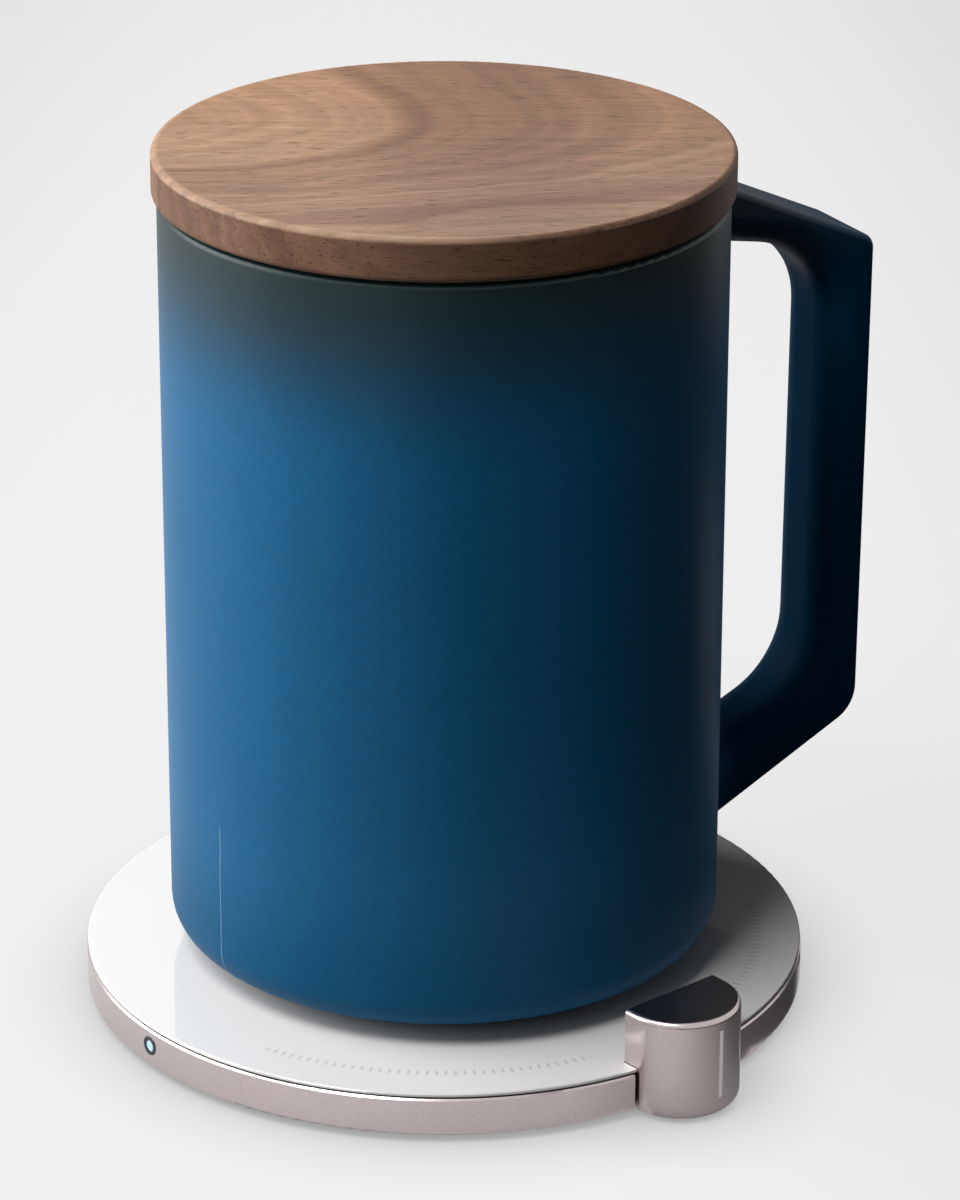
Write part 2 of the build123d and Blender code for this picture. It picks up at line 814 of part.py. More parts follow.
def lid_seal():
    """Silicone ring: a flange that the lid rests on, a core round the neck and two lips inside the mug."""
    inner = plug_neck_radius + seal_gap
    core_under = retainer_top + seal_gap
    seal = ring(inner, seal_core_radius, core_under, lid_under)
    seal += ring(inner, seal_flange_radius, mug_lip, lid_under)
    for step in range(seal_lip_count):
        low = core_under + step * seal_lip_pitch
        lip = [
            (seal_core_radius, low),
            (seal_core_radius + seal_lip_reach, low + seal_lip_thickness / 2),
            (seal_core_radius + seal_lip_reach, low + seal_lip_thickness),
            (seal_core_radius, low + seal_lip_thickness),
        ]
        seal += turned(lip, [0, 0, 0, 0])
    return seal


pieces = {
    "foot_pad": foot_pad(),
    "base_cover": base_cover(),
    "cover_screws": cover_screws(),
    "rim_housing": rim_housing(),
    "plate_gasket": plate_gasket(),
    "glass_plate": glass_plate(),
    "deck": deck(),
    "transmitter_coil": transmitter_coil(),
    "transmitter_ferrite": transmitter_ferrite(),
    "coil_tray": coil_tray(),
    "plate_sensor": plate_sensor(),
    "main_board": main_board(),
    "board_screws": board_screws(),
    "board_chips": board_blocks(chip_bearings, chip_side, chip_side, chip_height),
    "board_capacitors": board_blocks(capacitor_bearings, capacitor_length, capacitor_width, capacitor_height),
    "board_inductors": board_inductors(),
    "power_socket": power_socket(),
    "indicator_bezel": indicator_bezel(),
    "indicator_lens": indicator_lens(),
    "indicator_led": indicator_led(),
    "post_housing": post_housing(),
    "post_back": post_back(),
    "post_screw": post_screw(),
    "post_light_bar": post_light_bar(),
    "post_light_board": post_light_board(),
    "post_leds": post_leds(),
    "ceramic_mug": ceramic_mug(),
    "mug_bottom_cover": mug_bottom_cover(),
    "mug_foot_ring": mug_foot_ring(),
    "receiver_coil": receiver_coil(),
    "receiver_ferrite": receiver_ferrite(),
    "receiver_board": receiver_board(),
    "receiver_screws": receiver_screws(),
    "receiver_chips": receiver_chips(),
    "heat_spreader": heat_spreader(),
    "heater_film": heater_film(),
    "insulation_pad": insulation_pad(),
    "mug_sensor": mug_sensor(),
    "walnut_lid": walnut_lid(),
    "lid_seal": lid_seal(),
}

os.makedirs("parts", exist_ok=True)
for name, shape in pieces.items():
    export_step(shape, os.path.join("parts", name + ".step"))
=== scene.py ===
import json
from math import cos, radians, sin

import bpy
from mathutils import Matrix, Vector


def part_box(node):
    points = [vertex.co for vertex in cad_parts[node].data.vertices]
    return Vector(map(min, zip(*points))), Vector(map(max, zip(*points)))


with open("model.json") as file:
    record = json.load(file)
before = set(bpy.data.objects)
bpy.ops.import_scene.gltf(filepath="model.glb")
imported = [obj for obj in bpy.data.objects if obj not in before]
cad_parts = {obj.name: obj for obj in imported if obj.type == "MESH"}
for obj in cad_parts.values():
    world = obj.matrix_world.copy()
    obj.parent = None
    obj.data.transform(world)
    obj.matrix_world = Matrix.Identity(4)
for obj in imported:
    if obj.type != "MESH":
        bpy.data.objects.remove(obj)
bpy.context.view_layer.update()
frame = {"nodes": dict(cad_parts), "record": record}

# Metres and degrees. The camera's own frame has +X to the right of the picture and -Y towards the camera.
# The part's frame is that one turned about the upright axis.
MM = 0.001
VIEW_TURN = -29.0

# Camera
IMAGE_LONG_SIDE = 1200
FOCAL_PIXELS = 5105.2
PRINCIPAL_X_OFFSET = -36.0
SENSOR_MM = 36.0
EYE_BACK = 0.710
EYE_HEIGHT = 0.3612
EYE_PITCH = 22.81

# Floor: pale about a middle that lies behind the object, a little darker outside an oval round it
PALE = (0.862, 0.862, 0.862)
PALE_EDGE = (0.765, 0.765, 0.765)
PALE_AWAY = 0.20
PALE_HALF_WIDTH = 0.12
PALE_HALF_DEPTH = 0.60
PALE_FADE = (0.25, 1.6)
FLOOR_HALF = 4.0
FLOOR_HEIGHT = -0.05 * MM
FLOOR_GLOW = 0.90
FLOOR_UNSEEN = (0.13, 0.13, 0.13, 1.0)
# Painted contact shadow on the floor: its reach, samples and depth
CONTACT_REACH = 0.016
CONTACT_SAMPLES = 8
CONTACT_DEPTH = 0.60

# World
WHITE = (1.0, 1.0, 1.0, 1.0)
WORLD_SEEN = 0.80
WORLD_FILL = 0.07

# Cards
CARD_COLOUR = (0.012, 0.012, 0.013, 1.0)
BACK_CARD_COLOUR = (0.13, 0.13, 0.13, 1.0)
CARD_ROUGHNESS = 0.9
FLOOR_CARD_HEIGHT = 0.3 * MM
FLOOR_CARD_INNER = 0.0575
FLOOR_CARD_TURNS = (-30, 170)
FLOOR_CARD_NEAR_END = (0.10, 0.13)

# Watts that a lamp one metre away needs for a level of 1
WATTS_PER_LEVEL = 9.87

# Ends of a value that grows or falls along a span
FADE_IN = (0.0, 1.0)
FADE_OUT = (1.0, 0.0)

# Colour sockets of a Mix node
MIX_INPUTS = (6, 7)
MIX_OUTPUT = 2


def in_view(x, y, z):
    """A point given in the camera's frame, in the part's frame."""
    return Matrix.Rotation(radians(VIEW_TURN), 3, "Z") @ Vector((x, y, z))


# Sizes of the part, read from its nodes
mug_low, mug_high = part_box("ceramic_mug")
lid_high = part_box("walnut_lid")[1]
plate_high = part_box("glass_plate")[1]
post_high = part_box("post_housing")[1]
lip_height = mug_high.z
mug_foot = mug_low.z
mug_radius = -mug_low.x
lid_radius = lid_high.x
lid_top = lid_high.z
plate_radius = plate_high.x
plate_top = plate_high.z
post_top = post_high.z


def opaque(colour):
    """A colour with its alpha, from a colour or a grey level. A socket stays as it is."""
    if isinstance(colour, bpy.types.NodeSocket):
        return colour
    if isinstance(colour, float):
        colour = (colour, colour, colour)
    return (*colour[:3], 1.0)


class Graph:
    """A node material with one Principled shader, and short calls that add the nodes feeding it."""

    def __init__(self, name):
        self.material = bpy.data.materials.new(name)
        self.material.use_nodes = True
        self.tree = self.material.node_tree
        self.tree.nodes.clear()
        self.output = self.node("ShaderNodeOutputMaterial")
        self.shader = self.node("ShaderNodeBsdfPrincipled")
        self.tree.links.new(self.shader.outputs[0], self.output.inputs["Surface"])
        self.place = self.node("ShaderNodeTexCoord").outputs["Object"]

    def node(self, kind, **settings):
        made = self.tree.nodes.new(kind)
        for key, value in settings.items():
            setattr(made, key, value)
        return made

    def feed(self, socket, value):
        if isinstance(value, bpy.types.NodeSocket):
            self.tree.links.new(value, socket)
        else:
            socket.default_value = value

    def fill(self, made, **values):
        """Feeds a node's inputs by their names, written with _ for a space."""
        for name, value in values.items():
            self.feed(made.inputs[name.replace("_", " ")], value)
        return made

    def join(self, made, *values):
        """Feeds a node's inputs in their order."""
        for socket, value in zip(made.inputs, values):
            self.feed(socket, value)
        return made

    def surface(self, **values):
        self.fill(self.shader, **values)
        return self.material

    def surface_from(self, cover, first, second):
        """Two shaders mixed by a cover, in place of the Principled shader."""
        choice = self.join(self.node("ShaderNodeMixShader"), cover, first.outputs[0], second.outputs[0])
        self.tree.links.new(choice.outputs[0], self.output.inputs["Surface"])
        self.tree.nodes.remove(self.shader)
        return self.material

    def math(self, operation, *values):
        return self.join(self.node("ShaderNodeMath", operation=operation), *values).outputs[0]

    def times(self, *values):
        """The product of several values."""
        product = values[0]
        for value in values[1:]:
            product = self.math("MULTIPLY", product, value)
        return product

    def squares(self, first, second):
        """The sum of two squares."""
        return self.math("ADD", self.math("MULTIPLY", first, first), self.math("MULTIPLY", second, second))

    def apart(self, first, second):
        """How far apart two values are."""
        return self.math("ABSOLUTE", self.math("SUBTRACT", first, second))

    def waves(self, value, rate):
        """Rounded ridges along a value, from 0 to 1."""
        return self.math("ABSOLUTE", self.math("SINE", self.math("MULTIPLY", value, rate)))

    def about(self, value, middle, swing):
        """A value from 0 to 1, spread evenly to both sides of a middle."""
        return self.math("MULTIPLY_ADD", value, swing, middle - swing / 2)

    def lessen(self, value, share):
        """A factor that falls from one by a share of the value."""
        return self.math("MULTIPLY_ADD", value, -share, 1.0)

    def stretch(self, vector, scale=(1.0, 1.0, 1.0), turn=0.0):
        made = self.node("ShaderNodeMapping")
        self.fill(made, Vector=vector, Rotation=(0.0, 0.0, radians(turn)), Scale=scale)
        return made.outputs[0]

    def picture_place(self):
        """The place in the camera's frame: across the picture, away from the camera and up."""
        return self.stretch(self.place, turn=-VIEW_TURN)

    def parts(self, vector):
        return self.join(self.node("ShaderNodeSeparateXYZ"), vector).outputs

    def round_place(self):
        """Distance from the upright axis, the bearing about it in radians, and the height."""
        x, y, z = self.parts(self.place)
        return self.math("SQRT", self.squares(x, y)), self.math("ARCTAN2", y, x), z

    def noise(self, vector, scale, detail, roughness=0.5):
        made = self.node("ShaderNodeTexNoise")
        self.fill(made, Vector=vector, Scale=scale, Detail=detail, Roughness=roughness)
        return made.outputs["Fac"]

    def streaks(self, vector, scale, detail, roughness=0.5, turn=0.0):
        """Noise drawn out along an axis."""
        return self.noise(self.stretch(vector, scale, turn), 1.0, detail, roughness)

    def bands(self, distance, scale, detail, roughness):
        """Uneven bands along one value, as growth rings are."""
        made = self.node("ShaderNodeTexNoise", noise_dimensions="1D")
        self.fill(made, W=distance, Scale=scale, Detail=detail, Roughness=roughness)
        return made.outputs["Fac"]

    def ramp(self, value, stops):
        """Colours or grey levels blended along a value from 0 to 1."""
        made = self.node("ShaderNodeValToRGB")
        elements = made.color_ramp.elements
        while len(elements) < len(stops):
            elements.new(0.5)
        for element, (position, colour) in zip(elements, stops):
            element.position = position
            element.color = opaque(colour)
        self.fill(made, Fac=value)
        return made.outputs["Color"]

    def span(self, value, low, high, to_low=0.0, to_high=1.0):
        """A value from one range carried smoothly to another, held at its ends."""
        made = self.node("ShaderNodeMapRange", interpolation_type="SMOOTHSTEP")
        self.fill(made, Value=value, From_Min=low, From_Max=high, To_Min=to_low, To_Max=to_high)
        return made.outputs["Result"]

    def share(self, value, low, high):
        """Where a value lies between two ends, from 0 to 1."""
        made = self.node("ShaderNodeMapRange")
        self.fill(made, Value=value, From_Min=low, From_Max=high)
        return made.outputs["Result"]

    def mix(self, amount, first, second, blend="MIX"):
        made = self.node("ShaderNodeMix", data_type="RGBA", blend_type=blend)
        self.fill(made, Factor=amount)
        for index, colour in zip(MIX_INPUTS, (first, second)):
            self.feed(made.inputs[index], opaque(colour))
        return made.outputs[MIX_OUTPUT]

    def tint(self, colour, other):
        """One colour multiplied by another."""
        return self.mix(1.0, colour, other, "MULTIPLY")

    def shade(self, colour, value):
        """A colour made darker or lighter by a plain number from the nodes."""
        grey = self.join(self.node("ShaderNodeCombineColor"), value, value, value)
        return self.tint(colour, grey.outputs[0])

    def bump(self, height, depth, strength):
        made = self.fill(self.node("ShaderNodeBump"), Strength=strength, Distance=depth, Height=height)
        self.surface(Normal=made.outputs[0])


# Materials

def blue_glaze():
    """Matte blue glaze, grey-green under the lip, with painted shade that darkens the handle and the low wall
    towards the foot, with fine grain and a hairline.
    """
    band_colour = (0.005, 0.020, 0.022)
    blue = (0.0050, 0.100, 0.227)
    hairline_colour = (0.42, 0.52, 0.60)
    hairline_bearing = radians(-171.4)
    hairline_cover = 0.34
    hairline_edge = (0.04 * MM, 0.14 * MM)
    hairline_top = (36 * MM, 37.5 * MM)
    hairline_foot = (mug_radius - 9 * MM, mug_radius - 5 * MM)
    band_ends = (1 * MM, 30 * MM)
    foot_ends = (mug_foot, mug_foot + 26 * MM)
    handle_start = (mug_radius - 2 * MM, mug_radius + 8 * MM)
    handle_top = (lip_height - 24 * MM, lip_height - 10 * MM)
    fleck_ends = (0.62, 0.72)
    foot_painted_shade = 0.66
    foot_gloss = 0.055
    wall_gloss = 0.205
    band_gloss = 1.55
    handle_dullness = 0.94

    graph = Graph("blue_glaze")
    distance, bearing, height = graph.round_place()
    cloud = graph.noise(graph.place, scale=40.0, detail=3.0)
    grain = graph.noise(graph.place, scale=1100.0, detail=3.0)
    fleck = graph.span(graph.noise(graph.place, scale=1500.0, detail=1.0), *fleck_ends)
    on_handle = graph.span(graph.parts(graph.place)[0], *handle_start)

    depth = graph.math("SUBTRACT", lip_height, height)
    depth = graph.math("ADD", depth, graph.about(cloud, 0.0, swing=4 * MM))
    colour = graph.mix(graph.span(depth, *band_ends), band_colour, blue)
    tone = graph.times(
        graph.about(cloud, 1.0, swing=0.22),
        graph.about(grain, 1.0, swing=0.30),
        graph.lessen(fleck, share=0.12),
        # painted shade: the glaze is darker towards the foot
        graph.span(height, *foot_ends, foot_painted_shade, 1.0),
        # painted shade: the glaze is darker on the handle
        graph.lessen(on_handle, share=0.60),
    )
    colour = graph.shade(colour, tone)

    sway = graph.about(graph.noise(graph.place, scale=120.0, detail=2.0), 0.0, swing=0.9 * MM)
    aside = graph.math("MULTIPLY", graph.math("SUBTRACT", bearing, hairline_bearing), mug_radius)
    aside = graph.math("ABSOLUTE", graph.math("ADD", aside, sway))
    hairline = graph.times(
        graph.span(aside, *hairline_edge, *FADE_OUT),
        graph.span(height, *hairline_top, *FADE_OUT),
        graph.span(distance, *hairline_foot),
        hairline_cover,
    )
    colour = graph.mix(hairline, colour, hairline_colour)

    graph.bump(grain, depth=0.03 * MM, strength=0.35)
    rough = graph.about(grain, 0.45, swing=0.10)
    dull = graph.math("MULTIPLY", on_handle, graph.span(height, *handle_top, handle_dullness, 0.0))
    gloss = graph.times(
        graph.span(height, *foot_ends, foot_gloss, wall_gloss),
        graph.span(depth, *band_ends, band_gloss, 1.0),
        graph.math("SUBTRACT", 1.0, dull),
    )
    return graph.surface(Base_Color=colour, Roughness=rough, Specular_IOR_Level=gloss)


def walnut():
    """Flat-sawn walnut: growth rings cut at a slant, fibres, pores, darker sides, a painted sheen that greys
    the front of the top, painted shade towards the right, and a pale top edge that is partly worn and partly
    a painted highlight.
    """
    pale_tan = (0.420, 0.254, 0.156)
    tan = (0.392, 0.232, 0.145)
    reddish = (0.340, 0.193, 0.121)
    brown = (0.286, 0.159, 0.103)
    deep = (0.255, 0.139, 0.090)
    wear_and_highlight_colour = (0.62, 0.42, 0.29)
    back_tint = (0.98, 0.925, 0.87)
    front_sheen_tint = (0.98, 1.03, 1.10)
    side_tint = (0.95, 0.80, 0.72)
    ring_reach = 80 * MM
    ring_stops = [
        (0.00, tan), (0.10, pale_tan), (0.25, pale_tan), (0.282, tan), (0.300, deep), (0.315, reddish),
        (0.37, reddish), (0.39, brown), (0.41, reddish), (0.46, reddish), (0.50, tan), (0.56, reddish),
        (0.585, brown), (0.60, deep), (0.615, reddish), (0.64, tan), (0.70, tan), (0.73, reddish),
        (0.745, brown), (0.77, tan), (0.86, tan), (1.00, brown),
    ]
    # Tone from left to right across the lid: partly heartwood figure, partly painted shade that darkens it
    # towards the right
    heart_and_shade_stops = [
        (0.00, 0.97), (0.18, 0.96), (0.27, 1.02), (0.36, 0.97), (0.44, 0.82), (0.60, 0.73),
        (0.72, 0.77), (0.82, 0.88), (1.00, 0.89),
    ]
    pith_away = 9 * MM
    pith_depth = 25 * MM
    pith_slope = 0.32
    behind_pith = 0.45
    sheen_ends = (-30 * MM, 25 * MM)
    wall_ends = (lid_radius - 0.8 * MM, lid_radius - 0.2 * MM)
    edge_ends = (lid_radius - 1.3 * MM, lid_radius - 0.7 * MM)
    edge_heights = (lid_top - 1.0 * MM, lid_top - 0.5 * MM)
    highlight_fade_ends = (-5 * MM, 25 * MM)
    pore_ends = (0.60, 0.72)
    fibre_relief = 0.6
    pore_relief = 0.5

    graph = Graph("walnut")
    board = graph.picture_place()
    along, across, height = graph.parts(board)
    distance = graph.round_place()[0]
    slow = graph.streaks(board, (16.0, 30.0, 30.0), detail=1.5)
    quick = graph.streaks(board, (38.0, 150.0, 150.0), detail=2.0)
    fibre = graph.streaks(board, (26.0, 520.0, 520.0), detail=4.0, roughness=0.64)
    hair = graph.streaks(board, (90.0, 2300.0, 2300.0), detail=2.0)
    pore = graph.span(graph.streaks(board, (300.0, 3000.0, 3000.0), detail=1.0), *pore_ends)
    wall = graph.span(distance, *wall_ends)

    drift = graph.math("ADD", graph.about(slow, 0.0, swing=26 * MM), graph.about(quick, 0.0, swing=6 * MM))
    side = graph.math("ADD", graph.math("SUBTRACT", across, pith_away), drift)
    behind = graph.math("MULTIPLY", graph.math("MAXIMUM", side, 0.0), behind_pith)
    side = graph.math("ADD", graph.math("MINIMUM", side, 0.0), behind)
    slant = graph.math("MULTIPLY_ADD", along, pith_slope, pith_depth)
    slant = graph.math("ADD", slant, graph.math("SUBTRACT", height, lid_top))
    ring = graph.math("SQRT", graph.squares(side, slant))

    colour = graph.ramp(graph.math("DIVIDE", ring, ring_reach), ring_stops)
    tone = graph.times(
        graph.about(fibre, 1.01, swing=0.80),
        # heartwood tone and painted shade across the lid
        graph.ramp(graph.share(along, -lid_radius, lid_radius), heart_and_shade_stops),
        graph.about(graph.bands(ring, scale=430.0, detail=3.0, roughness=0.6), 1.0, swing=0.76),
        graph.about(hair, 1.0, swing=0.36),
        graph.lessen(pore, share=0.55),
        graph.lessen(wall, share=0.50),
    )
    colour = graph.shade(colour, tone)
    # painted sheen: the front of the top greyer, the back warmer and more saturated
    painted_sheen = graph.span(across, *sheen_ends, *FADE_OUT)
    colour = graph.tint(colour, graph.mix(painted_sheen, back_tint, front_sheen_tint))
    colour = graph.mix(wall, colour, graph.tint(colour, side_tint))
    # pale top edge: partly wear, partly a painted highlight that fades out towards the right, where the edge
    # lies in shade
    wear_and_highlight = graph.times(
        graph.span(distance, *edge_ends),
        graph.span(height, *edge_heights),
        graph.about(fibre, 0.35, swing=0.9),
        graph.span(along, *highlight_fade_ends, *FADE_OUT),
    )
    colour = graph.mix(wear_and_highlight, colour, wear_and_highlight_colour)

    ridge = graph.math("MULTIPLY", fibre, fibre_relief)
    ridge = graph.math("SUBTRACT", ridge, graph.math("MULTIPLY", pore, pore_relief))
    graph.bump(ridge, depth=0.06 * MM, strength=0.5)
    rough = graph.about(fibre, 0.52, swing=0.20)
    return graph.surface(Base_Color=colour, Roughness=rough, Specular_IOR_Level=0.20)


def white_plate():
    """Back-painted white glass with a quiet ring of short printed marks near its edge, in two arcs."""
    white = (0.825, 0.806, 0.784)
    mark_colour = (0.30, 0.30, 0.30)
    mark_cover = 0.38
    mark_radius = plate_radius - 6.5 * MM
    mark_half = (0.55 * MM, 0.75 * MM)
    mark_rate = 110.0
    mark_gap = (0.86, 0.96)
    front_middle = radians(-122.0)
    front_half = (radians(29.0), radians(30.0))
    right_middle = radians(-38.0)
    right_half = (radians(17.0), radians(18.0))

    graph = Graph("white_plate")
    distance, bearing, _ = graph.round_place()
    cloud = graph.noise(graph.place, scale=30.0, detail=2.0)
    ripple = graph.noise(graph.place, scale=90.0, detail=1.0)
    front = graph.span(graph.apart(bearing, front_middle), *front_half, *FADE_OUT)
    right = graph.span(graph.apart(bearing, right_middle), *right_half, *FADE_OUT)
    marks = graph.times(
        graph.span(graph.apart(distance, mark_radius), *mark_half, *FADE_OUT),
        graph.span(graph.waves(bearing, mark_rate), *mark_gap),
        graph.math("MAXIMUM", front, right),
        mark_cover,
    )
    colour = graph.mix(marks, graph.shade(white, graph.about(cloud, 1.0, swing=0.03)), mark_colour)
    graph.bump(ripple, depth=0.01 * MM, strength=0.2)
    rough = graph.about(cloud, 0.045, swing=0.03)
    return graph.surface(Base_Color=colour, Roughness=rough, IOR=1.8, Coat_Weight=0.6, Coat_Roughness=0.04)


def champagne_metal():
    """Bead-blasted, anodised aluminium with a fine sparkle, darker on the post's flat top."""
    champagne = (0.610, 0.530, 0.528)
    cap_ends = (post_top - 0.06 * MM, post_top - 0.02 * MM)

    graph = Graph("champagne_metal")
    height = graph.parts(graph.place)[2]
    blast = graph.noise(graph.place, scale=2600.0, detail=2.0)
    cloud = graph.noise(graph.place, scale=70.0, detail=2.0)
    tone = graph.times(
        graph.about(blast, 1.0, swing=0.22),
        graph.about(cloud, 1.0, swing=0.08),
        graph.lessen(graph.span(height, *cap_ends), share=0.65),
    )
    graph.bump(blast, depth=0.01 * MM, strength=0.05)
    rough = graph.about(blast, 0.23, swing=0.08)
    return graph.surface(Base_Color=graph.shade(champagne, tone), Roughness=rough, Metallic=1.0)


def plastic_graph(name, colour, rough, texture_scale=900.0, relief=0.02 * MM, contrast=0.12):
    """Moulded plastic or rubber with a fine texture in tone, gloss and relief."""
    graph = Graph(name)
    texture = graph.noise(graph.place, texture_scale, detail=3.0)
    cloud = graph.noise(graph.place, scale=60.0, detail=2.0)
    tone = graph.times(graph.about(texture, 1.0, contrast), graph.about(cloud, 1.0, contrast))
    graph.bump(texture, relief, strength=0.3)
    shine = graph.about(texture, rough, swing=0.12)
    graph.surface(Base_Color=graph.shade(colour, tone), Roughness=shine)
    return graph


def plastic(name, colour, rough, **texture):
    return plastic_graph(name, colour, rough, **texture).material


def lit_lens():
    """Clear light pipe, lit pale blue-white where it comes through the rim."""
    glow_colour = (0.70, 0.88, 1.0, 1.0)
    glow_level = 0.16
    glow_ends = (plate_radius - 1.2 * MM, plate_radius - 0.2 * MM)

    graph = plastic_graph("light_pipe", (0.38, 0.62, 0.78), rough=0.14, texture_scale=700.0)
    glow = graph.span(graph.round_place()[0], *glow_ends, 0.0, glow_level)
    return graph.surface(Emission_Color=glow_colour, Emission_Strength=glow)


def pale_bar():
    """Translucent pale bar in the post, with a faint painted glow that lightens it where it lies in shade."""
    glow_colour = (0.9, 0.88, 0.88, 1.0)
    # painted glow: lightens the unlit bar in the post's shade
    glow_level = 0.28

    graph = plastic_graph("light_bar", (0.74, 0.72, 0.72), rough=0.30, texture_scale=1500.0)
    return graph.surface(Emission_Color=glow_colour, Emission_Strength=glow_level)


def copper_winding():
    """Enamelled strands lying side by side along the band."""
    copper = (0.72, 0.33, 0.15)
    strand_rate = 9500.0

    graph = Graph("copper_winding")
    strand = graph.waves(graph.round_place()[0], strand_rate)
    twist = graph.noise(graph.place, scale=900.0, detail=2.0)
    tone = graph.times(graph.about(strand, 0.875, swing=0.35), graph.about(twist, 1.0, swing=0.3))
    graph.bump(strand, depth=0.05 * MM, strength=0.6)
    return graph.surface(Base_Color=graph.shade(copper, tone), Metallic=1.0, Roughness=0.32,
                         Coat_Weight=0.6, Coat_Roughness=0.15)


def circuit_board():
    """Green solder mask over faint copper tracks."""
    mask_colour = (0.012, 0.085, 0.045)
    track_colour = (0.03, 0.17, 0.085)
    track_ends = (0.04, 0.07)

    graph = Graph("circuit_board")
    cells = graph.node("ShaderNodeTexVoronoi", distance="CHEBYCHEV", feature="DISTANCE_TO_EDGE")
    graph.fill(cells, Vector=graph.place, Scale=260.0)
    tracks = graph.span(cells.outputs["Distance"], *track_ends, *FADE_OUT)
    fibre = graph.noise(graph.place, scale=1400.0, detail=2.0)
    graph.bump(tracks, depth=0.03 * MM, strength=0.4)
    colour = graph.shade(graph.mix(tracks, mask_colour, track_colour), graph.about(fibre, 1.0, swing=0.2))
    return graph.surface(Base_Color=colour, Roughness=0.34)


def drawn_metal(name, colour, rough, turn=0.0):
    """Rolled or drawn metal with fine lines one way."""
    graph = Graph(name)
    lines = graph.streaks(graph.place, (90.0, 3000.0, 900.0), detail=3.0, turn=turn)
    graph.bump(lines, depth=0.01 * MM, strength=0.3)
    shine = graph.about(lines, rough, swing=0.16)
    tone = graph.about(lines, 1.0, swing=0.24)
    return graph.surface(Base_Color=graph.shade(colour, tone), Roughness=shine, Metallic=1.0)


def heater_film():
    """Amber polyimide with the lines of the etched heater showing through."""
    film_colour = (0.50, 0.21, 0.04)
    trace_colour = (0.62, 0.36, 0.12)
    trace_rate = 1400.0
    trace_ends = (0.45, 0.6)

    graph = Graph("heater_amber")
    trace = graph.span(graph.waves(graph.parts(graph.place)[1], trace_rate), *trace_ends)
    film = graph.noise(graph.place, scale=200.0, detail=2.0)
    graph.bump(trace, depth=0.03 * MM, strength=0.3)
    colour = graph.shade(graph.mix(trace, film_colour, trace_colour), graph.about(film, 1.0, swing=0.14))
    return graph.surface(Base_Color=colour, Roughness=0.22)


def pressed_felt():
    """Pressed fibre with a loose surface."""
    felt = (0.58, 0.56, 0.51)

    graph = Graph("insulation_felt")
    fibre = graph.streaks(graph.place, (500.0, 1500.0, 900.0), detail=4.0, roughness=0.65, turn=20.0)
    graph.bump(fibre, depth=0.15 * MM, strength=0.6)
    return graph.surface(Base_Color=graph.shade(felt, graph.about(fibre, 1.0, swing=0.5)), Roughness=0.9)


finishes = {
    "blue_glaze": blue_glaze(),
    "walnut": walnut(),
    "silicone_black": plastic("silicone_black", (0.022, 0.022, 0.023), rough=0.62),
    "white_plate": white_plate(),
    "champagne_metal": champagne_metal(),
    "dark_plastic": plastic("dark_plastic", (0.040, 0.041, 0.044), rough=0.5,
                            texture_scale=1500.0, relief=0.03 * MM),
    "white_plastic": plastic("white_plastic", (0.72, 0.72, 0.70), rough=0.45),
    "copper_winding": copper_winding(),
    "ferrite": plastic("ferrite", (0.055, 0.055, 0.062), rough=0.55, texture_scale=2200.0, contrast=0.3),
    "circuit_board": circuit_board(),
    "chip_black": plastic("chip_black", (0.020, 0.020, 0.022), rough=0.48, texture_scale=2500.0),
    "capacitor_tan": plastic("capacitor_tan", (0.42, 0.29, 0.17), rough=0.42,
                             texture_scale=1800.0, contrast=0.25),
    "screw_steel": drawn_metal("screw_steel", (0.52, 0.52, 0.53), rough=0.34, turn=35.0),
    "socket_steel": drawn_metal("socket_steel", (0.60, 0.60, 0.61), rough=0.30, turn=80.0),
    "bezel_black": plastic("bezel_black", (0.012, 0.012, 0.013), rough=0.16, texture_scale=700.0),
    "light_pipe": lit_lens(),
    "led_white": plastic("led_white", (0.82, 0.78, 0.55), rough=0.3),
    "sensor_epoxy": plastic("sensor_epoxy", (0.06, 0.06, 0.075), rough=0.2),
    "spreader_metal": drawn_metal("spreader_metal", (0.72, 0.72, 0.73), rough=0.32),
    "heater_amber": heater_film(),
    "insulation_felt": pressed_felt(),
}
node_finishes = {"post_light_bar": pale_bar()}

for subpart in frame["record"]["subparts"]:
    name = subpart["node"]
    slots = frame["nodes"][name].data.materials
    finish = node_finishes.get(name, finishes[subpart["material_slot"]])
    if not slots:
        slots.append(finish)
    for index in range(len(slots)):
        slots[index] = finish


# Studio: floor, cards, lamps, world

def stage_sheet(name, corners):
    """A flat sheet of the studio, from corners in the camera's frame."""
    mesh = bpy.data.meshes.new(name)
    mesh.from_pydata([in_view(*corner) for corner in corners], [], [tuple(range(len(corners)))])
    sheet = bpy.data.objects.new(name, mesh)
    bpy.context.scene.collection.objects.link(sheet)
    return sheet


def standing_card(name, start, end, foot, top):
    """An upright sheet between two points of the floor."""
    return stage_sheet(name, [(*start, foot), (*end, foot), (*end, top), (*start, top)])


def seen_rays(tree):
    """One where a ray comes from the camera, a reflection or a clear material, and zero elsewhere."""
    path = tree.nodes.new("ShaderNodeLightPath")
    total = path.outputs["Is Camera Ray"]
    for name in ("Is Glossy Ray", "Is Transmission Ray"):
        either = tree.nodes.new("ShaderNodeMath")
        either.operation = "MAXIMUM"
        tree.links.new(total, either.inputs[0])
        tree.links.new(path.outputs[name], either.inputs[1])
        total = either.outputs[0]
    return total


